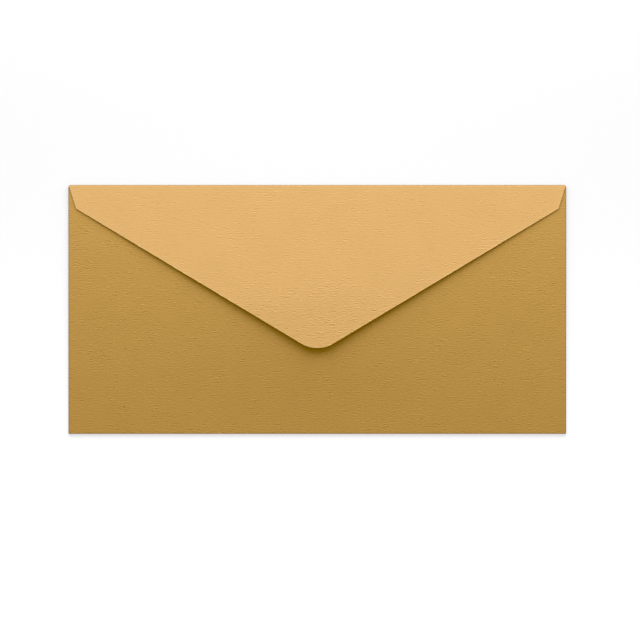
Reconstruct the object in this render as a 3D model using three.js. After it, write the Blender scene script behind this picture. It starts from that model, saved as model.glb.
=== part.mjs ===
// A DL wallet envelope lying on its address face, its deep pointed flap folded over the back.
// One die-cut sheet of textured paper turns at four creases and is glued along two side seams.
// Millimetres, +Z up. X runs along the long side, the flap's crease is at +Y, and the origin is
// at the middle of the face that rests on the table.

import * as THREE from "three";

// Envelope and sheet
const envelopeWidth = 220;
const envelopeHeight = 110;
const paperThickness = 0.2;
// Clear space between the front panel and a side flap, inside the side crease
const sideCreaseGap = 0.3;

// Dried adhesive
const gumThickness = 0.05;
// Distance of a seam from its side crease
const seamInset = 4;
const seamWidth = 8;
// Bare paper past the end of a seam, and past its inner side
const seamEndMargin = 2;
const sideFlapMargin = 4;

// Slanted ends of the side flaps
const sideFlapTaper = 6;
const sideFlapCorner = 4;

// Back panel: the throat is its free edge, under the flap
const throatSetback = 0.8;
const throatDip = 8.5;
// How far the middle of the empty pocket stands up
const pocketBow = 1;

// Seal flap, measured from the envelope's top and side edges
const flapDepth = 72;
const flapTipRadius = 14;
const shoulderInset = 3.5;
const shoulderDepth = 10.5;
const shoulderCorner = 0.3;
// Air under the flap, at the crease and added towards the tip by the spring of the crease
const flapClearance = 0.1;
const flapSpring = 1.9;

// Dry gum under the flap: a V along its two long edges
const sealGumMargin = 4;
const sealGumWidth = 12;
const sealGumEndInset = 8;

// Facets
const foldFacets = 8;
const curveFacets = 10;
const bowColumns = 28;
const bowRows = 16;

// Heights of the layers
const sideFlapUnder = paperThickness + sideCreaseGap;
const seamUnder = sideFlapUnder + paperThickness;
const backUnder = seamUnder + gumThickness;
const backTop = backUnder + paperThickness;
const flapUnder = backTop + flapClearance + gumThickness;
const flapTop = flapUnder + paperThickness;

// Outer radii of the creases, which the layers set
const sideFoldRadius = seamUnder / 2;
const bottomFoldRadius = backTop / 2;
const topFoldRadius = flapTop / 2;

// Crease lines: the flat panels end here and the folds begin
const sideCreaseX = envelopeWidth / 2 - sideFoldRadius;
const topCreaseY = envelopeHeight / 2 - topFoldRadius;
const bottomCreaseY = bottomFoldRadius - envelopeHeight / 2;
const creaseSpan = topCreaseY - bottomCreaseY;
const creaseMiddleY = (topCreaseY + bottomCreaseY) / 2;

// The back panel stays flat over the seams and bows between them
const seamReach = seamInset + seamWidth;
const bowHalfWidth = sideCreaseX - seamReach;

// Materials
const panelPaper = new THREE.MeshStandardMaterial({ color: 0xba8f4a, roughness: 0.85, metalness: 0 });
const flapPaper = new THREE.MeshStandardMaterial({ color: 0xe2b474, roughness: 0.85, metalness: 0 });
const dryGum = new THREE.MeshStandardMaterial({ color: 0xd8b67c, roughness: 0.35, metalness: 0 });

function namedMesh(name, geometry, material) {
  const mesh = new THREE.Mesh(geometry, material.clone());
  mesh.name = name;
  return mesh;
}

function flatSheet(shape, thickness) {
  return new THREE.ExtrudeGeometry(shape, {
    depth: thickness,
    bevelEnabled: false,
    curveSegments: curveFacets,
  });
}

// Draws a line towards a corner and rounds the corner off on the way to the next point.
function lineRoundCorner(shape, from, corner, to, size) {
  const start = corner.clone().sub(from).setLength(-size).add(corner);
  const end = to.clone().sub(corner).setLength(size).add(corner);
  shape.lineTo(start.x, start.y);
  shape.quadraticCurveTo(corner.x, corner.y, end.x, end.y);
}

// Front panel: the address face, flat on the table
function frontPanel() {
  const geometry = new THREE.BoxGeometry(2 * sideCreaseX, creaseSpan, paperThickness);
  const mesh = namedMesh("front_panel", geometry, panelPaper);
  mesh.position.set(0, creaseMiddleY, paperThickness / 2);
  return mesh;
}

// Folds: half rings of paper, from the front panel up to the layer that turns back over it.
// Unturned, a fold bulges towards +X and runs along Y.
function fold(name, radius, length, material) {
  const section = new THREE.Shape();
  section.absarc(0, 0, radius, -Math.PI / 2, Math.PI / 2, false);
  section.absarc(0, 0, radius - paperThickness, Math.PI / 2, -Math.PI / 2, true);
  section.closePath();
  const geometry = new THREE.ExtrudeGeometry(section, {
    depth: length,
    bevelEnabled: false,
    curveSegments: foldFacets,
  });
  geometry.translate(0, 0, -length / 2);
  geometry.rotateX(Math.PI / 2);
  const mesh = namedMesh(name, geometry, material);
  mesh.position.z = radius;
  return mesh;
}

// Side flaps: unturned, a flap reaches from the right crease towards -X
function sideFlap(name) {
  const reach = seamReach + sideFlapMargin;
  const half = creaseSpan / 2;
  const creaseTop = new THREE.Vector2(0, half);
  const creaseBottom = new THREE.Vector2(0, -half);
  const innerTop = new THREE.Vector2(-reach, half - sideFlapTaper);
  const innerBottom = new THREE.Vector2(-reach, sideFlapTaper - half);
  const outline = new THREE.Shape();
  outline.moveTo(creaseBottom.x, creaseBottom.y);
  outline.lineTo(creaseTop.x, creaseTop.y);
  lineRoundCorner(outline, creaseTop, innerTop, innerBottom, sideFlapCorner);
  lineRoundCorner(outline, innerTop, innerBottom, creaseBottom, sideFlapCorner);
  outline.closePath();
  const mesh = namedMesh(name, flatSheet(outline, paperThickness), panelPaper);
  mesh.position.z = sideFlapUnder;
  return mesh;
}

// Seam: the line of adhesive between a side flap and the back panel
function seamGum(name) {
  const length = creaseSpan - 2 * (sideFlapTaper + seamEndMargin);
  const mesh = namedMesh(name, new THREE.BoxGeometry(seamWidth, length, gumThickness), dryGum);
  mesh.position.set(-seamInset - seamWidth / 2, 0, seamUnder + gumThickness / 2);
  return mesh;
}

// One side of the envelope, in the frame of its crease: fold, side flap and seam
function side(word, turn) {
  const group = new THREE.Group();
  group.add(fold("fold_" + word, sideFoldRadius, creaseSpan, panelPaper));
  group.add(sideFlap("side_flap_" + word));
  group.add(seamGum("seam_gum_" + word));
  group.position.set(Math.cos(turn) * sideCreaseX, creaseMiddleY, 0);
  group.rotation.z = turn;
  return group;
}

// Height of the throat edge of the back panel at a distance x from the middle
function throatY(x) {
  const share = x / sideCreaseX;
  return topCreaseY - throatSetback - throatDip * (1 - share * share);
}

// Stations across the back panel: the flat seams, and even steps over the bow between them
function bowStations() {
  const stations = [-sideCreaseX];
  for (let step = 0; step <= bowColumns; step += 1) {
    stations.push(bowHalfWidth * ((2 * step) / bowColumns - 1));
  }
  stations.push(sideCreaseX);
  return stations;
}

// Rise of the bow, flat along the seams, the bottom crease and the throat
function bowRise(x, up) {
  const across = Math.max(0, 1 - (x / bowHalfWidth) ** 2);
  const along = 4 * up * (1 - up);
  return pocketBow * across ** 2 * along ** 2;
}

// Back panel: a grid of cells whose corners are moved from a box onto the bowed sheet
function backPanel() {
  const stations = bowStations();
  const columns = stations.length - 1;
  const geometry = new THREE.BoxGeometry(columns, bowRows, 1, columns, bowRows, 1);
  const corners = geometry.getAttribute("position");
  for (let index = 0; index < corners.count; index += 1) {
    const x = stations[Math.round(corners.getX(index) + columns / 2)];
    const up = Math.round(corners.getY(index) + bowRows / 2) / bowRows;
    const face = corners.getZ(index) > 0 ? backTop : backUnder;
    const y = bottomCreaseY + up * (throatY(x) - bottomCreaseY);
    corners.setXYZ(index, x, y, face + bowRise(x, up));
  }
  geometry.computeVertexNormals();
  return namedMesh("back_panel", geometry, panelPaper);
}

// Seal flap, in the frame of its crease: the crease is y = 0 and the tip lies towards -Y
const shoulder = new THREE.Vector2(
  envelopeWidth / 2 - shoulderInset,
  envelopeHeight / 2 - shoulderDepth - topCreaseY,
);
const tipY = envelopeHeight / 2 - flapDepth - topCreaseY;
const tipCentreY = tipY + flapTipRadius;
const shoulderToTip = Math.hypot(shoulder.x, shoulder.y - tipCentreY);
// Angle of the long edges to the crease, each a tangent from its shoulder to the round tip
const edgeAngle =
  Math.atan2(shoulder.y - tipCentreY, shoulder.x) + Math.asin(flapTipRadius / shoulderToTip);
// The flap clears the bowed pocket and springs up a little more
const flapSlope = (pocketBow + flapSpring) / -tipY;

// Sets a flat piece at the flap's slope, with its ends still upright so that it meets the fold.
function lean(geometry) {
  return geometry.applyMatrix4(new THREE.Matrix4().makeShear(0, 0, 0, -flapSlope, 0, 0));
}

// A point beside a long edge of the flap, a distance along it from the shoulder and inside it.
// hand is 1 on the right and -1 on the left.
function besideEdge(hand, along, inside) {
  const x = shoulder.x - along * Math.cos(edgeAngle) - inside * Math.sin(edgeAngle);
  const y = shoulder.y - along * Math.sin(edgeAngle) + inside * Math.cos(edgeAngle);
  return new THREE.Vector2(hand * x, y);
}

// Draws the round tip at a distance inside the flap's outline, from left to right.
function drawTip(shape, inside) {
  const from = -Math.PI / 2 - edgeAngle;
  const to = edgeAngle - Math.PI / 2;
  shape.absarc(0, tipCentreY, flapTipRadius - inside, from, to, false);
}

function sealFlap() {
  const leftCrease = new THREE.Vector2(-sideCreaseX, 0);
  const rightCrease = new THREE.Vector2(sideCreaseX, 0);
  const leftShoulder = new THREE.Vector2(-shoulder.x, shoulder.y);
  const outline = new THREE.Shape();
  outline.moveTo(leftCrease.x, leftCrease.y);
  lineRoundCorner(outline, leftCrease, leftShoulder, besideEdge(-1, shoulderToTip, 0), shoulderCorner);
  drawTip(outline, 0);
  lineRoundCorner(outline, besideEdge(1, shoulderToTip, 0), shoulder, rightCrease, shoulderCorner);
  outline.lineTo(rightCrease.x, rightCrease.y);
  outline.closePath();
  return namedMesh("seal_flap", lean(flatSheet(outline, paperThickness)), flapPaper);
}

// Corners of the end of one arm of the gum's V, from its outer side to its inner side. The end is
// square to the arm, and the margin of bare paper is kept along the crease too.
function gumEnd(hand) {
  const inner = sealGumMargin + sealGumWidth;
  const rise = sealGumEndInset * Math.sin(edgeAngle) - shoulder.y - sealGumMargin;
  const reach = rise / Math.cos(edgeAngle);
  const outerCorner = besideEdge(hand, sealGumEndInset, sealGumMargin);
  if (reach >= inner) {
    return [outerCorner, besideEdge(hand, sealGumEndInset, inner)];
  }
  const run = (shoulder.y + inner * Math.cos(edgeAngle) + sealGumMargin) / Math.sin(edgeAngle);
  return [outerCorner, besideEdge(hand, sealGumEndInset, reach), besideEdge(hand, run, inner)];
}

function sealGum() {
  const inner = sealGumMargin + sealGumWidth;
  const innerPointY = tipCentreY - (flapTipRadius - inner) / Math.cos(edgeAngle);
  const outline = new THREE.Shape();
  // The tip's arc joins on only to a line already drawn, so the outline starts at the inner point
  outline.moveTo(0, innerPointY);
  for (const corner of gumEnd(-1).reverse()) {
    outline.lineTo(corner.x, corner.y);
  }
  drawTip(outline, sealGumMargin);
  for (const corner of gumEnd(1)) {
    outline.lineTo(corner.x, corner.y);
  }
  outline.closePath();
  const mesh = namedMesh("seal_gum", lean(flatSheet(outline, gumThickness)), dryGum);
  mesh.position.z = -gumThickness;
  return mesh;
}

// The flap and its gum turn about the middle of the top fold
function flap() {
  const group = new THREE.Group();
  group.add(sealFlap(), sealGum());
  group.position.set(0, topCreaseY, flapUnder);
  return group;
}

function acrossFold(name, radius, creaseY, turn, material) {
  const mesh = fold(name, radius, 2 * sideCreaseX, material);
  mesh.position.y = creaseY;
  mesh.rotation.z = turn;
  return mesh;
}

const envelope = new THREE.Group();
envelope.add(frontPanel());
envelope.add(acrossFold("fold_bottom", bottomFoldRadius, bottomCreaseY, -Math.PI / 2, panelPaper));
envelope.add(side("left", Math.PI), side("right", 0));
envelope.add(backPanel());
envelope.add(acrossFold("fold_top", topFoldRadius, topCreaseY, Math.PI / 2, flapPaper));
envelope.add(flap());

export default envelope;
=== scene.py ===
import math

import bpy
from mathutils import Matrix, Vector


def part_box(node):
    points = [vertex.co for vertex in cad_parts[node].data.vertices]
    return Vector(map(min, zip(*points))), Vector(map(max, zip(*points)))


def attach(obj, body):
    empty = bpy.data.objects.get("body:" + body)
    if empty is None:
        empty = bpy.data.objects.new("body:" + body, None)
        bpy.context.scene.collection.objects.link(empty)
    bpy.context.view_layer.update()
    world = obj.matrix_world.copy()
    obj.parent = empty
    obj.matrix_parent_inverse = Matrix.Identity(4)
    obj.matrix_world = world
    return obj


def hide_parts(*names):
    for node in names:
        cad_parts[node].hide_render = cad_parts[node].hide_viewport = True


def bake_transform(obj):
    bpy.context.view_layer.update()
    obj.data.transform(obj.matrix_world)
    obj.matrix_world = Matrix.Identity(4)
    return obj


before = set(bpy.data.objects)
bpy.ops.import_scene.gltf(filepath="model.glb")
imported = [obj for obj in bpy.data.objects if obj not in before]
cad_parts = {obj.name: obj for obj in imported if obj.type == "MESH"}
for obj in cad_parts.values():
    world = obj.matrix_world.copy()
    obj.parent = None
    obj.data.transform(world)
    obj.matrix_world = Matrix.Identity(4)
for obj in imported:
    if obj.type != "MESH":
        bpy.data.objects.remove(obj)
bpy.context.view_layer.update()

# The envelope lies on its address face, the flap's crease at +Y. Everything is in metres.
MM = 0.001

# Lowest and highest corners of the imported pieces
front_low, front_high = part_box("front_panel")
back_low, back_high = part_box("back_panel")
flap_low, flap_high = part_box("seal_flap")
seam_low, seam_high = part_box("seam_gum_right")

# Thicknesses, and the lines where the flat front panel ends and its folds begin
PAPER = front_high.z
SIDE_CREASE = front_high.x
TOP_CREASE = front_high.y
BOTTOM_CREASE = front_low.y
GUM_THICKNESS = seam_high.z - seam_low.z

# Back panel: flat over the seams, bowed between them, its throat a shallow dip
BACK_UNDER = back_low.z
POCKET_BOW = back_high.z - back_low.z - PAPER
BOW_HALF_WIDTH = seam_low.x
THROAT_SETBACK = TOP_CREASE - back_high.y
THROAT_DIP = 8.5 * MM
# A narrow row of faces along the throat, for its rounded edge
THROAT_STRIP = 0.3 * MM
BACK_COLUMNS = 56
BACK_ROWS = 28

# Seal flap: shoulders from the envelope's edges, long edges tangent to the round tip
FLAP_UNDER = flap_low.z
FLAP_TIP = flap_low.y
FLAP_SLOPE = (flap_high.z - flap_low.z - PAPER) / (TOP_CREASE - FLAP_TIP)
# How much the felt marks gain by the tip, as a share of their height at the crease, and the
# distances from the crease between which they gain it
GRAIN_GAIN = 0.85
GAIN_START = 30 * MM
GAIN_END = 56 * MM
# Share of the slope that is held back at the crease, and the distance at which none is
FLAP_HUG = 0.75
FLAP_HUG_REACH = 56 * MM
SHOULDER = Vector((106.5 * MM, 44.5 * MM, 0))
SHOULDER_CORNER = 0.12 * MM
TIP_RADIUS = 14 * MM
TIP_CENTRE = FLAP_TIP + TIP_RADIUS
# Angle of the long edges to the crease
EDGE_ANGLE = math.atan2(SHOULDER.y - TIP_CENTRE, SHOULDER.x) + math.asin(
    TIP_RADIUS / math.hypot(SHOULDER.x, SHOULDER.y - TIP_CENTRE)
)
TIP_SEGMENTS = 24
SHOULDER_SEGMENTS = 3
# The knife presses a lip up along the flap's cut edges
LIP_WIDTH = 0.45 * MM
LIP_RISE = 0.03 * MM
FLAP_COLUMNS = 44
# The flap and its gum bend at the same rows, so that they stay face to face
FLAP_ROWS = 30

# Dry gum under the flap
GUM_MARGIN = 4 * MM
GUM_WIDTH = 12 * MM
GUM_END_INSET = 8 * MM
GUM_COLUMNS = 60

# Folds, each as high as the layers that it joins
SIDE_FOLD_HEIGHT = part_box("fold_right")[1].z
BOTTOM_FOLD_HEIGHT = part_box("fold_bottom")[1].z
TOP_FOLD_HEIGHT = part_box("fold_top")[1].z
FOLD_STEPS = 24
# The bottom fold reaches this far into each corner
CORNER_REACH = 0.3 * MM

# Cut edges: the radius that the knife leaves, and the angle from which an edge counts as sharp
EDGE_ROUNDING = 0.03 * MM
SHARP_DEGREES = 40
# How near to a line a point counts as lying on it
ON_LINE = 0.02 * MM

UP = Vector((0, 0, 1))


# Modelling helpers

def deselect():
    if bpy.context.object and bpy.context.object.mode != "OBJECT":
        bpy.ops.object.mode_set(mode="OBJECT")
    bpy.ops.object.select_all(action="DESELECT")


def pick(piece):
    """Makes a piece the only one selected."""
    deselect()
    piece.select_set(True)
    bpy.context.view_layer.objects.active = piece


def edit(piece):
    """Opens a piece in edit mode with nothing selected."""
    pick(piece)
    bpy.ops.object.mode_set(mode="EDIT")
    bpy.ops.mesh.select_mode(type="VERT")
    bpy.ops.mesh.select_all(action="DESELECT")


def done():
    bpy.ops.object.mode_set(mode="OBJECT")


def select_points(piece, wanted):
    """Selects the vertices for which wanted(position) holds, from edit mode and back to it."""
    bpy.ops.mesh.select_mode(type="VERT")
    bpy.ops.mesh.select_all(action="DESELECT")
    done()
    for vertex in piece.data.vertices:
        vertex.select = wanted(vertex.co)
    bpy.ops.object.mode_set(mode="EDIT")


def select_faces(piece, wanted):
    """Selects the faces for which wanted(centre) holds, from edit mode and back to it."""
    bpy.ops.mesh.select_mode(type="FACE")
    bpy.ops.mesh.select_all(action="DESELECT")
    done()
    for face in piece.data.polygons:
        face.select = wanted(face.center)
    bpy.ops.object.mode_set(mode="EDIT")


def add_square(name):
    """A flat face of one metre by one metre about the origin, to be made into a piece."""
    deselect()
    bpy.ops.mesh.primitive_plane_add(size=1)
    piece = bpy.context.object
    piece.name = name
    piece.data.name = name
    return piece


def add_plate(name, low, high):
    """A flat rectangle between two corners, ready to be cut to shape."""
    piece = add_square(name)
    bpy.ops.object.mode_set(mode="EDIT")
    bpy.ops.mesh.select_all(action="SELECT")
    bpy.ops.transform.resize(value=(high[0] - low[0], high[1] - low[1], 1))
    bpy.ops.transform.translate(value=((high[0] + low[0]) / 2, (high[1] + low[1]) / 2, 0))
    done()
    return piece


def cut(point, outward, keep_both=False):
    """Cuts the piece in edit mode with a plane. What lies outward of it goes, unless both stay."""
    bpy.ops.mesh.select_all(action="SELECT")
    bpy.ops.mesh.bisect(
        plane_co=tuple(point),
        plane_no=tuple(outward),
        clear_outer=not keep_both,
        threshold=1e-7,
    )


def slice_evenly(axis, start, end, steps):
    """Adds even cuts across the piece in edit mode, so that it can bend smoothly."""
    for step in range(1, steps):
        point = Vector((0, 0, 0))
        point[axis] = start + (end - start) * step / steps
        outward = Vector((0, 0, 0))
        outward[axis] = 1
        cut(point, outward, keep_both=True)


def move_points(piece, place):
    """Moves each vertex to place(position)."""
    for vertex in piece.data.vertices:
        vertex.co = place(vertex.co.copy())
    piece.data.update()


def thicken(piece, thickness):
    """Gives a sheet its thickness, downward from its upper face."""
    pick(piece)
    modifier = piece.modifiers.new("solidify", "SOLIDIFY")
    modifier.thickness = thickness
    modifier.offset = -1
    modifier.use_even_offset = True
    bpy.ops.object.modifier_apply(modifier=modifier.name)


def mark(piece, name, share):
    """Stores a value for each vertex, share(position), that the materials read by its name."""
    layer = piece.data.attributes.new(name, "FLOAT", "POINT")
    for index, vertex in enumerate(piece.data.vertices):
        layer.data[index].value = float(share(vertex.co))


def smooth(piece):
    pick(piece)
    bpy.ops.object.shade_smooth_by_angle(angle=math.radians(SHARP_DEGREES))


def give(piece, material):
    piece.data.materials.clear()
    piece.data.materials.append(material)


def smoothstep(value):
    value = min(max(value, 0), 1)
    return value * value * (3 - 2 * value)


# Seal flap and its gum

def edge_outward(hand):
    """Outward direction of a long edge, hand 1 on the right and -1 on the left."""
    return Vector((hand * math.sin(EDGE_ANGLE), -math.cos(EDGE_ANGLE), 0))


def edge_point(hand, along, inside):
    """A point beside a long edge: a distance along it from its shoulder and inside it."""
    x = SHOULDER.x - along * math.cos(EDGE_ANGLE) - inside * math.sin(EDGE_ANGLE)
    y = SHOULDER.y - along * math.sin(EDGE_ANGLE) + inside * math.cos(EDGE_ANGLE)
    return Vector((hand * x, y, 0))


def inside_edges(position):
    """Distance of a point inside the nearer long edge of the flap."""
    return min(-(position - edge_point(hand, 0, 0)).dot(edge_outward(hand)) for hand in (1, -1))


def side_outward(hand):
    """Outward direction of the short edge between the crease's end and the shoulder."""
    run = Vector((SIDE_CREASE, TOP_CREASE, 0)) - SHOULDER
    return Vector((hand * run.y, -run.x, 0)).normalized()


def flap_outline(name):
    """The flap's flat outline, cut from a plate, with its tip and shoulders rounded."""
    apex = SHOULDER.y - SHOULDER.x * math.tan(EDGE_ANGLE)
    spare = 10 * MM
    piece = add_plate(name, (-SIDE_CREASE, apex - spare), (SIDE_CREASE, TOP_CREASE))
    edit(piece)
    for hand in (1, -1):
        cut(edge_point(hand, 0, 0), edge_outward(hand))
        cut(Vector((hand * SIDE_CREASE, TOP_CREASE, 0)), side_outward(hand))

    # A bevel of the sharp apex rounds it down to the tip, and two more round the shoulders
    select_points(piece, lambda p: (p - Vector((0, apex, 0))).length < ON_LINE)
    tip_cut = FLAP_TIP - apex
    roundness = 2 * (1 - math.sqrt(0.5)) * math.sin(EDGE_ANGLE)
    bpy.ops.mesh.bevel(offset=tip_cut / roundness, segments=TIP_SEGMENTS, affect="VERTICES")
    for hand in (1, -1):
        corner = edge_point(hand, 0, 0)
        select_points(piece, lambda p: (p - corner).length < ON_LINE)
        bpy.ops.mesh.bevel(offset=SHOULDER_CORNER, segments=SHOULDER_SEGMENTS, affect="VERTICES")
    done()
    return piece


def flap_top(position):
    """Height of the flap's upper face: it hugs the pocket at the crease and springs up beyond."""
    distance = TOP_CREASE - position.y
    freed = smoothstep(distance / FLAP_HUG_REACH)
    lift = 1 - FLAP_HUG + FLAP_HUG * freed
    return FLAP_UNDER + PAPER + FLAP_SLOPE * distance * lift


def seal_flap():
    piece = flap_outline("flap_sheet")
    edit(piece)
    bpy.ops.mesh.select_all(action="SELECT")
    bpy.ops.mesh.inset(thickness=LIP_WIDTH, depth=0)
    slice_evenly(0, -SIDE_CREASE, SIDE_CREASE, FLAP_COLUMNS)
    slice_evenly(1, FLAP_TIP, TOP_CREASE, FLAP_ROWS)
    done()

    def place(position):
        lip = LIP_RISE if on_free_outline(position) else 0
        position.z = flap_top(position) + lip
        return position

    move_points(piece, place)
    thicken(piece, PAPER)
    # The flap's cut outline takes the second colour: its lighter core, and a painted highlight
    mark(piece, "second_colour", on_free_outline)
    soften_edges(piece, on_free_outline)
    mark(piece, "deeper_grain", deeper_grain)
    smooth(piece)
    return piece


def deeper_grain(position):
    """How much higher the felt marks stand than at the crease, which is near the tip alone."""
    distance = TOP_CREASE - position.y
    return GRAIN_GAIN * smoothstep((distance - GAIN_START) / (GAIN_END - GAIN_START))


def on_free_outline(position):
    """True on the flap's die-cut outline, that is anywhere but along its crease."""
    if position.y > TOP_CREASE - ON_LINE:
        return False
    flat = Vector((position.x, position.y, 0))
    on_edge = 0.05 * MM
    if inside_edges(flat) < on_edge:
        return True
    hand = 1 if flat.x > 0 else -1
    crease_end = Vector((hand * SIDE_CREASE, TOP_CREASE, 0))
    if -(flat - crease_end).dot(side_outward(hand)) < on_edge:
        return True
    if (flat - edge_point(hand, 0, 0)).length < 0.6 * SHOULDER_CORNER:
        return True

    # The bevelled tip lies a little inside the true arc
    past_tangent = 0.3 * MM
    inside_arc = 0.28 * MM
    tip_tangent = TIP_CENTRE - TIP_RADIUS * math.cos(EDGE_ANGLE)
    from_centre = (flat - Vector((0, TIP_CENTRE, 0))).length
    return flat.y < tip_tangent + past_tangent and from_centre > TIP_RADIUS - inside_arc


def soften_edges(piece, on_cut):
    """Rounds the sharp corners of the paper's thickness along its cut edges."""
    edit(piece)
    bpy.ops.mesh.select_mode(type="EDGE")
    bpy.ops.mesh.edges_select_sharp(sharpness=math.radians(SHARP_DEGREES))
    done()
    points = piece.data.vertices
    for line in piece.data.edges:
        ends = [points[index].co for index in line.vertices]
        upright = abs(ends[0].z - ends[1].z) > 0.5 * PAPER
        line.select = line.select and not upright and all(on_cut(end) for end in ends)
    bpy.ops.object.mode_set(mode="EDIT")
    bpy.ops.mesh.bevel(offset=EDGE_ROUNDING, segments=2, affect="EDGES")
    done()


def seal_gum():
    """A V of dried gum along the long edges, on the inner face of the flap."""
    piece = flap_outline("gum_band")
    inner = GUM_MARGIN + GUM_WIDTH
    edit(piece)
    bpy.ops.mesh.select_all(action="SELECT")
    bpy.ops.mesh.inset(thickness=GUM_MARGIN, depth=0)
    select_faces(piece, lambda c: not deep_inside(c))
    bpy.ops.mesh.delete(type="FACE")
    for hand in (1, -1):
        cut(edge_point(hand, 0, inner), edge_outward(hand), keep_both=True)
    select_faces(piece, lambda c: inside_edges(c) > inner)
    bpy.ops.mesh.delete(type="FACE")
    for hand in (1, -1):
        along = Vector((hand * math.cos(EDGE_ANGLE), math.sin(EDGE_ANGLE), 0))
        cut(edge_point(hand, GUM_END_INSET, 0), along)
    slice_evenly(0, -SIDE_CREASE, SIDE_CREASE, GUM_COLUMNS)
    slice_evenly(1, FLAP_TIP, TOP_CREASE, FLAP_ROWS)
    done()
    move_points(piece, lambda p: Vector((p.x, p.y, flap_top(p) - PAPER)))
    thicken(piece, GUM_THICKNESS)
    smooth(piece)
    return piece


def deep_inside(centre):
    """True for the one face left inside the gum's margin, whose middle is far from every edge."""
    return inside_edges(centre) > 2 * GUM_MARGIN and centre.y < TOP_CREASE - GUM_MARGIN


# Back panel

def throat(x):
    """Y of the back panel's free edge, at a distance from the middle."""
    share = x / SIDE_CREASE
    return TOP_CREASE - THROAT_SETBACK - THROAT_DIP * (1 - share * share)


def bow(x, up):
    """Rise of the empty pocket's bow, flat along the seams, the bottom crease and the throat."""
    across = max(0, 1 - (x / BOW_HALF_WIDTH) ** 2)
    along = 4 * up * (1 - up)
    return POCKET_BOW * across**2 * along**2


def back_panel():
    piece = add_plate("back_sheet", (-SIDE_CREASE, BOTTOM_CREASE), (SIDE_CREASE, TOP_CREASE))
    edit(piece)
    slice_evenly(0, -SIDE_CREASE, SIDE_CREASE, BACK_COLUMNS)
    slice_evenly(1, BOTTOM_CREASE, TOP_CREASE, BACK_ROWS)
    cut((0, TOP_CREASE - THROAT_STRIP, 0), (0, 1, 0), keep_both=True)
    done()

    def place(position):
        up = (position.y - BOTTOM_CREASE) / (TOP_CREASE - BOTTOM_CREASE)
        position.y = BOTTOM_CREASE + up * (throat(position.x) - BOTTOM_CREASE)
        position.z = BACK_UNDER + PAPER + bow(position.x, up)
        return position

    move_points(piece, place)
    thicken(piece, PAPER)

    def on_cut(position):
        return position.y > throat(position.x) - ON_LINE

    mark(piece, "second_colour", on_cut)
    soften_edges(piece, on_cut)
    smooth(piece)
    return piece


# Folds

def fold(name, middle, along, outward, length, height, painted_shade_share=1):
    """A half ring of paper, spun about its crease from the edge of the front panel.

    painted_shade_share is how strongly painted shade darkens its outer line."""
    piece = add_square(name)

    # The square becomes the end of the front panel, as long as the crease and as high as the paper
    for vertex in piece.data.vertices:
        rise = (vertex.co.y + 0.5) * PAPER
        vertex.co = middle + along * vertex.co.x * length + UP * rise
    edit(piece)
    bpy.ops.mesh.select_all(action="SELECT")
    radius = height / 2
    centre = middle + UP * radius
    bpy.ops.mesh.spin(
        steps=FOLD_STEPS, dupli=False, angle=math.pi, center=centre, axis=UP.cross(outward)
    )
    bpy.ops.mesh.select_all(action="SELECT")
    bpy.ops.mesh.normals_make_consistent(inside=False)
    done()
    # Painted shade along the fold's outer line, most where it turns furthest out
    mark(piece, "crease", lambda p: painted_shade_share * smoothstep((p - middle).dot(outward) / radius))
    smooth(piece)
    return piece


def side_fold(name, hand):
    middle = Vector((hand * SIDE_CREASE, (TOP_CREASE + BOTTOM_CREASE) / 2, 0))
    length = TOP_CREASE - BOTTOM_CREASE
    return fold(name, middle, Vector((0, 1, 0)), Vector((hand, 0, 0)), length, SIDE_FOLD_HEIGHT)


def cross_fold(name, crease, hand, height, length, painted_shade_share=1):
    middle = Vector((0, crease, 0))
    return fold(name, middle, Vector((1, 0, 0)), Vector((0, hand, 0)), length, height, painted_shade_share)


def draw_ends_in(piece, height):
    """Draws a cross fold's ends in by a hair towards the flap, so that no two parts of an end
    share a plane once the fold has bent."""
    taper = 0.02 * MM / SIDE_CREASE

    def place(position):
        position.x *= 1 - taper * position.z / height
        return position

    move_points(piece, place)


# Materials

def add_node(tree, kind, **settings):
    node = tree.nodes.new(kind)
    for name, value in settings.items():
        setattr(node, name, value)
    return node


def feed(tree, source, target):
    """Links a socket, or sets a plain value."""
    if isinstance(source, bpy.types.NodeSocket):
        tree.links.new(source, target)
    else:
        target.default_value = source


def arithmetic(tree, operation, first, second=0.0, third=0.0):
    node = add_node(tree, "ShaderNodeMath", operation=operation)
    for socket, value in zip(node.inputs, (first, second, third)):
        feed(tree, value, socket)
    return node.outputs[0]


def vector_arithmetic(tree, operation, first, second):
    node = add_node(tree, "ShaderNodeVectorMath", operation=operation)
    feed(tree, first, node.inputs[0])
    feed(tree, second, node.inputs[1])
    return node.outputs[0]


def noise(tree, vector, scale, detail=2.0, roughness=0.5):
    """Noise centred on zero. scale is its marks a metre."""
    node = add_node(tree, "ShaderNodeTexNoise", noise_dimensions="3D")
    feed(tree, vector, node.inputs["Vector"])
    feed(tree, scale, node.inputs["Scale"])
    feed(tree, detail, node.inputs["Detail"])
    feed(tree, roughness, node.inputs["Roughness"])
    return arithmetic(tree, "SUBTRACT", node.outputs["Fac"], 0.5)


def stretched_noise(tree, position, length, width):
    """Noise drawn out along X, in marks about a length by a width."""
    scales = add_node(tree, "ShaderNodeCombineXYZ")
    for socket, size in zip(scales.inputs, (length, width, width)):
        feed(tree, arithmetic(tree, "DIVIDE", 1.0, size), socket)
    stretched = vector_arithmetic(tree, "MULTIPLY", position, scales.outputs[0])
    return noise(tree, stretched, 1.0, roughness=0.55)


def new_group(name, inputs, outputs):
    tree = bpy.data.node_groups.new(name, "ShaderNodeTree")
    for label, kind, value in inputs:
        socket = tree.interface.new_socket(name=label, in_out="INPUT", socket_type=kind)
        if value is not None:
            socket.default_value = value
    for label, kind in outputs:
        tree.interface.new_socket(name=label, in_out="OUTPUT", socket_type=kind)
    start = add_node(tree, "NodeGroupInput")
    end = add_node(tree, "NodeGroupOutput")
    return tree, start.outputs, end.inputs


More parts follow.
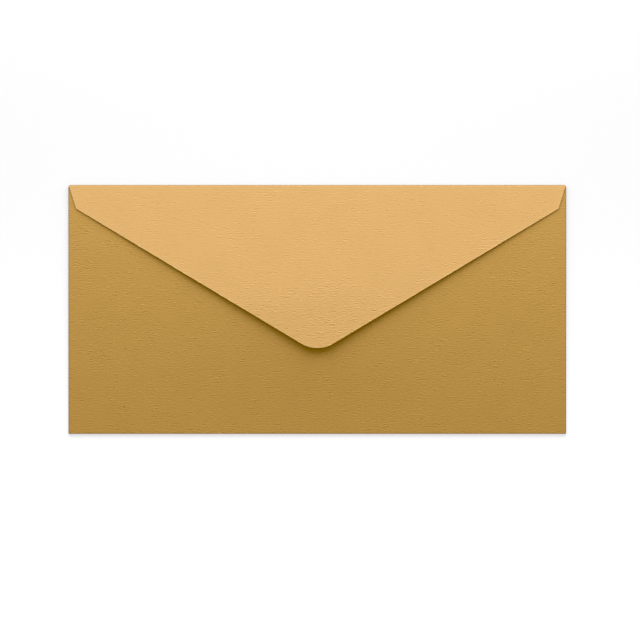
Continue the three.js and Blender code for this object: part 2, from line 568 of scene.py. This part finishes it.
def felt_emboss():
    """The marks of a felt in the paper: long along X, thin along Y, wavy and in patches."""
    drift_scale = 330.0
    group_length = 2.2 * MM
    group_width = 1.1 * MM
    group_contrast = 7.0
    group_bias = -0.15
    ripple_share = 0.28
    ridge_share = 0.45
    patch_scale = 120.0
    patch_middle = 0.9
    patch_least = 0.45
    tree, given, result = new_group(
        "felt_emboss",
        [
            ("Position", "NodeSocketVector", None),
            ("Ridge length", "NodeSocketFloat", 1.5 * MM),
            ("Ridge width", "NodeSocketFloat", 0.55 * MM),
            ("Ripple pitch", "NodeSocketFloat", 1.15 * MM),
            ("Waviness", "NodeSocketFloat", 2.1),
            ("Patchiness", "NodeSocketFloat", 1.9),
        ],
        [("Height", "NodeSocketFloat")],
    )

    # Ripples side by side, which drift up and down along their length
    across = add_node(tree, "ShaderNodeSeparateXYZ")
    feed(tree, given["Position"], across.inputs[0])
    lines = arithmetic(tree, "DIVIDE", across.outputs["Y"], given["Ripple pitch"])
    drift = noise(tree, given["Position"], drift_scale)
    lines = arithmetic(tree, "ADD", lines, arithmetic(tree, "MULTIPLY", drift, given["Waviness"]))
    ripple = arithmetic(tree, "SINE", arithmetic(tree, "MULTIPLY", lines, 2 * math.pi))

    # The ripples show in short groups, a few ridges long
    groups = stretched_noise(tree, given["Position"], group_length, group_width)
    shown = arithmetic(tree, "MULTIPLY_ADD", groups, group_contrast, group_bias)
    shown = arithmetic(tree, "MINIMUM", arithmetic(tree, "MAXIMUM", shown, 0.0), 1.0)
    ripple = arithmetic(tree, "MULTIPLY", ripple, shown)

    # Fainter short ridges everywhere
    ridges = stretched_noise(tree, given["Position"], given["Ridge length"], given["Ridge width"])
    ridges = arithmetic(tree, "MULTIPLY", ridges, ridge_share)

    # Strong in some patches and nearly smooth in others
    patch = noise(tree, given["Position"], patch_scale)
    patch = arithmetic(tree, "MULTIPLY_ADD", patch, given["Patchiness"], patch_middle)
    patch = arithmetic(tree, "MAXIMUM", patch, patch_least)
    height = arithmetic(tree, "MULTIPLY_ADD", ripple, ripple_share, ridges)
    feed(tree, arithmetic(tree, "MULTIPLY", height, patch), result["Height"])
    return tree


def paper_fibres():
    """Fine tooth, cloudy formation and a few dark flecks of bark."""
    tooth_scale = 3200.0
    cloud_scale = 55.0
    fleck_scale = 70.0
    # Radius of a fleck, as a share of the distance between cells
    fleck_least = 0.01
    fleck_spread = 0.012
    tree, given, result = new_group(
        "paper_fibres",
        [("Position", "NodeSocketVector", None), ("Fleck share", "NodeSocketFloat", 0.08)],
        [("Tooth", "NodeSocketFloat"), ("Cloud", "NodeSocketFloat"), ("Fleck", "NodeSocketFloat")],
    )
    feed(tree, noise(tree, given["Position"], tooth_scale, 2.0, 0.6), result["Tooth"])
    feed(tree, noise(tree, given["Position"], cloud_scale, 3.0, 0.55), result["Cloud"])
    cells = add_node(tree, "ShaderNodeTexVoronoi", feature="F1", voronoi_dimensions="2D")
    feed(tree, given["Position"], cells.inputs["Vector"])
    feed(tree, fleck_scale, cells.inputs["Scale"])
    chosen = add_node(tree, "ShaderNodeSeparateColor")
    feed(tree, cells.outputs["Color"], chosen.inputs[0])
    picked = arithmetic(tree, "LESS_THAN", chosen.outputs[0], given["Fleck share"])
    size = arithmetic(tree, "MULTIPLY_ADD", chosen.outputs[1], fleck_spread, fleck_least)
    close = arithmetic(tree, "LESS_THAN", cells.outputs["Distance"], size)
    feed(tree, arithmetic(tree, "MULTIPLY", picked, close), result["Fleck"])
    return tree


FELT = felt_emboss()
FIBRES = paper_fibres()


def new_material(name, roughness, specular):
    material = bpy.data.materials.new(name)
    material.use_nodes = True
    tree = material.node_tree
    shader = tree.nodes["Principled BSDF"]
    shader.inputs["Roughness"].default_value = roughness
    shader.inputs["Specular IOR Level"].default_value = specular
    return material, tree, shader


def place_group(tree, group, **values):
    node = add_node(tree, "ShaderNodeGroup", node_tree=group)
    for name, value in values.items():
        feed(tree, value, node.inputs[name.replace("_", " ")])
    return node.outputs


def tinted(tree, colour, shade):
    """A colour made lighter or darker by a value around one."""
    node = add_node(tree, "ShaderNodeVectorMath", operation="SCALE")
    feed(tree, colour, node.inputs[0])
    feed(tree, shade, node.inputs["Scale"])
    return node.outputs[0]


def blend_colour(tree, share, first, second):
    node = add_node(tree, "ShaderNodeMix", data_type="RGBA")
    feed(tree, share, node.inputs["Factor"])
    feed(tree, first, node.inputs["A"])
    feed(tree, second, node.inputs["B"])
    return node.outputs["Result"]


def add_shade(tree, shade, source, weight):
    """Adds a weighted value to a shade."""
    return arithmetic(tree, "MULTIPLY_ADD", source, weight, shade)


def set_bump(tree, shader, height, distance):
    bump = add_node(tree, "ShaderNodeBump")
    feed(tree, 1.0, bump.inputs["Strength"])
    feed(tree, distance, bump.inputs["Distance"])
    feed(tree, height, bump.inputs["Height"])
    feed(tree, bump.outputs["Normal"], shader.inputs["Normal"])


def paper(name, colour, second_colour, relief, grain_tone_and_painted_shade, crease_painted_shade):
    """Felt-marked paper. relief is the height of the ridges, and grain_tone_and_painted_shade how
    much they tint: their own tone, with painted shade in their hollows and painted light on their
    ridges.

    The second colour shows where a piece's attribute says so, as on a cut edge, where on the flap
    it is also a painted highlight. crease_painted_shade is how much painted shade darkens the
    outer line of a crease."""
    material, tree, shader = new_material(name, roughness=0.82, specular=0.25)
    position = add_node(tree, "ShaderNodeTexCoord").outputs["Object"]
    felt = place_group(tree, FELT, Position=position)
    # The felt marks stand higher where the piece says so, as towards the flap's tip
    gain = add_node(tree, "ShaderNodeAttribute", attribute_name="deeper_grain").outputs["Fac"]
    marks = arithmetic(tree, "MULTIPLY_ADD", felt["Height"], gain, felt["Height"])
    fibres = place_group(tree, FIBRES, Position=position)
    crease = add_node(tree, "ShaderNodeAttribute", attribute_name="crease")
    # The felt marks tint the paper: their own tone, with painted shade in hollows and light on
    # ridges
    shade = add_shade(tree, 1.0, marks, grain_tone_and_painted_shade)
    shade = add_shade(tree, shade, fibres["Cloud"], 0.08)
    shade = add_shade(tree, shade, fibres["Tooth"], 0.08)
    shade = add_shade(tree, shade, fibres["Fleck"], -0.45)
    # Painted shade along the outer line of a crease
    shade = add_shade(tree, shade, crease.outputs["Fac"], -crease_painted_shade)
    second = add_node(tree, "ShaderNodeAttribute", attribute_name="second_colour")
    sheet = blend_colour(tree, second.outputs["Fac"], (*colour, 1), (*second_colour, 1))
    feed(tree, tinted(tree, sheet, shade), shader.inputs["Base Color"])
    tooth_share = 0.12
    height = arithmetic(tree, "MULTIPLY_ADD", fibres["Tooth"], tooth_share, marks)
    set_bump(tree, shader, height, relief)
    return material


def gum(name, colour, roughness):
    """Dried gum: thin, a little glossy, uneven from the roller that laid it."""
    material, tree, shader = new_material(name, roughness, specular=0.28)
    position = add_node(tree, "ShaderNodeTexCoord").outputs["Object"]
    fibres = place_group(tree, FIBRES, Position=position, Fleck_share=0.0)
    streak_scales = (60.0, 420.0, 60.0)
    streaks = noise(tree, vector_arithmetic(tree, "MULTIPLY", position, streak_scales), 1.0)
    shade = add_shade(tree, 1.0, streaks, 0.12)
    shade = add_shade(tree, shade, fibres["Cloud"], 0.1)
    feed(tree, tinted(tree, colour, shade), shader.inputs["Base Color"])
    dull = add_shade(tree, roughness, fibres["Cloud"], 0.5)
    feed(tree, dull, shader.inputs["Roughness"])
    relief = 0.01 * MM
    set_bump(tree, shader, arithmetic(tree, "ADD", streaks, fibres["Tooth"]), relief)
    return material


# The sheet's faces, and its core where a cut edge shows it, on the flap also a painted highlight
PANEL_COLOUR = (0.447, 0.266, 0.0725)
PANEL_CORE = (0.5, 0.3, 0.09)
PANEL_GRAIN = {"relief": 0.205 * MM, "grain_tone_and_painted_shade": 0.35}
FLAP_COLOUR = (0.598, 0.3695, 0.1345)
FLAP_CORE_AND_HIGHLIGHT = (0.69, 0.46, 0.2)
FLAP_GRAIN = {"relief": 0.125 * MM, "grain_tone_and_painted_shade": 0.19}

# The pocket's creases darken along their outer line with painted shade
panel_paper = paper("panel_paper", PANEL_COLOUR, PANEL_CORE, crease_painted_shade=0.55, **PANEL_GRAIN)
flap_paper = paper("flap_paper", FLAP_COLOUR, FLAP_CORE_AND_HIGHLIGHT, crease_painted_shade=0.0, **FLAP_GRAIN)
# The top crease's outer line is darkened strongly with painted shade, against the light on it
top_fold_paper = paper(
    "top_fold_paper", FLAP_COLOUR, PANEL_COLOUR, crease_painted_shade=0.65, **FLAP_GRAIN
)
seal_gum_material = gum("seal_gum", (0.56, 0.365, 0.14), roughness=0.5)
seam_gum_material = gum("seam_gum", (0.5, 0.32, 0.12), roughness=0.5)


# Pieces in place of the CAD's plain sheets

def dress(piece, body, node, material):
    """Puts a modelled piece in place of a CAD node, on its body and in its material."""
    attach(piece, body)
    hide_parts(node)
    give(piece, material)


dress(seal_flap(), "flap", "seal_flap", flap_paper)
dress(seal_gum(), "flap", "seal_gum", seal_gum_material)
dress(back_panel(), "pocket", "back_panel", panel_paper)
dress(side_fold("left_crease", -1), "pocket", "fold_left", panel_paper)
dress(side_fold("right_crease", 1), "pocket", "fold_right", panel_paper)
bottom_length = 2 * (SIDE_CREASE + CORNER_REACH)
# The bottom crease takes little painted shade, as it faces away from the light
bottom_crease = cross_fold(
    "bottom_crease", BOTTOM_CREASE, -1, BOTTOM_FOLD_HEIGHT, bottom_length, painted_shade_share=0.1
)
dress(bottom_crease, "pocket", "fold_bottom", panel_paper)

# The top crease's colour turns from the body's to the flap's
top_crease = cross_fold("top_crease", TOP_CREASE, 1, TOP_FOLD_HEIGHT, 2 * SIDE_CREASE)
mark(top_crease, "second_colour", lambda p: 1 - smoothstep(p.z / TOP_FOLD_HEIGHT))
draw_ends_in(top_crease, TOP_FOLD_HEIGHT)
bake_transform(top_crease)
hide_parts("fold_top")
give(top_crease, top_fold_paper)

for node_name in ("front_panel", "side_flap_left", "side_flap_right"):
    give(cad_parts[node_name], panel_paper)
for node_name in ("seam_gum_left", "seam_gum_right"):
    give(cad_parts[node_name], seam_gum_material)


# Floor, light and camera

# The floor's glow along Y beside the envelope, nearer than it and behind it, and along X at either
# side: what it gains a metre, and what it is at the origin
GLOW_BESIDE = (-2.3, 0.334)
GLOW_NEAR = (-1.0, 0.41)
GLOW_FAR = (4.0, -1.17)
GLOW_ASIDE = (1.2, -0.18)
GLOW_LEAST = 0.05
GLOW_MOST = 0.73
GLOW_TINT = (0, 0.013, 0.104)


def floor():
    deselect()
    bpy.ops.mesh.primitive_plane_add(size=4, location=(0, 0, -0.05 * MM))
    plane = bpy.context.object
    plane.name = "floor"
    material, tree, shader = new_material("floor_white", roughness=0.9, specular=0.2)
    shader.inputs["Base Color"].default_value = (0.598, 0.608, 0.508, 1)

    # It glows more where the strips of light give less, so it is the same pale white all over
    spot = add_node(tree, "ShaderNodeSeparateXYZ")
    feed(tree, add_node(tree, "ShaderNodeTexCoord").outputs["Object"], spot.inputs[0])
    beside, near_side, far_side = (
        arithmetic(tree, "MULTIPLY_ADD", spot.outputs["Y"], gain, start)
        for gain, start in (GLOW_BESIDE, GLOW_NEAR, GLOW_FAR)
    )
    glow = arithmetic(tree, "MAXIMUM", arithmetic(tree, "MINIMUM", beside, near_side), far_side)
    glow = arithmetic(tree, "MAXIMUM", glow, GLOW_LEAST)
    aside = arithmetic(tree, "ABSOLUTE", spot.outputs["X"])
    aside = arithmetic(tree, "MULTIPLY_ADD", aside, *GLOW_ASIDE)
    aside = arithmetic(tree, "MAXIMUM", aside, 0.0)
    glow = arithmetic(tree, "MINIMUM", arithmetic(tree, "ADD", glow, aside), GLOW_MOST)
    white = vector_arithmetic(tree, "ADD", tinted(tree, (1, 1, 1), glow), GLOW_TINT)
    feed(tree, white, shader.inputs["Emission Color"])
    shader.inputs["Emission Strength"].default_value = 1.0
    give(plane, material)


def softbox(name, place, height, power):
    """A strip of daylight a metre long, along X, that faces the origin."""
    data = bpy.data.lights.new(name, "AREA")
    data.shape = "RECTANGLE"
    data.size = 1.0
    data.size_y = height
    data.energy = power
    data.color = (0.93, 0.915, 1.095)
    light = bpy.data.objects.new(name, data)
    bpy.context.scene.collection.objects.link(light)
    light.visible_camera = False
    light.location = place
    light.rotation_euler = (-Vector(place)).to_track_quat("-Z", "Y").to_euler()


def lighting():
    softbox("low_softbox", (0, 0.38, 0.124), height=0.21, power=3.1)
    softbox("high_softbox", (0, 0.302, 0.262), height=0.16, power=1.44)
    world = bpy.data.worlds.new("studio")
    world.use_nodes = True
    tree = world.node_tree
    background = tree.nodes["Background"]

    # Warm fill on the object, in front of a plain white wall
    warm_fill = (0.53, 0.5, 0.42, 1)
    white_wall = (1, 1, 1, 1)
    seen = add_node(tree, "ShaderNodeLightPath").outputs["Is Camera Ray"]
    colour = blend_colour(tree, seen, warm_fill, white_wall)
    feed(tree, colour, background.inputs["Color"])
    background.inputs["Strength"].default_value = 1.0
    bpy.context.scene.world = world


def camera():
    """Straight above, its frame as wide as the photograph's and off the origin as there."""
    millimetres_per_pixel = 220 / 497.6
    pixels_wide = 640
    pixels_off_centre = Vector((2.7, -10.6, 0))
    frame_width = pixels_wide * millimetres_per_pixel * MM
    off_centre = pixels_off_centre * millimetres_per_pixel * MM
    data = bpy.data.cameras.new("camera")
    data.sensor_width = 36
    data.lens = 200
    eye = bpy.data.objects.new("camera", data)
    bpy.context.scene.collection.objects.link(eye)
    distance = frame_width * data.lens / data.sensor_width
    eye.location = off_centre + UP * (distance + PAPER)
    bpy.context.scene.camera = eye


def picture_tone():
    """A plain picture with slightly deepened blacks, as a studio camera gives."""
    settings = bpy.context.scene.view_settings
    settings.view_transform = "Standard"
    settings.use_curve_mapping = True
    settings.curve_mapping.black_level = (0.015, 0.015, 0.025)
    settings.curve_mapping.update()


floor()
lighting()
camera()
picture_tone()

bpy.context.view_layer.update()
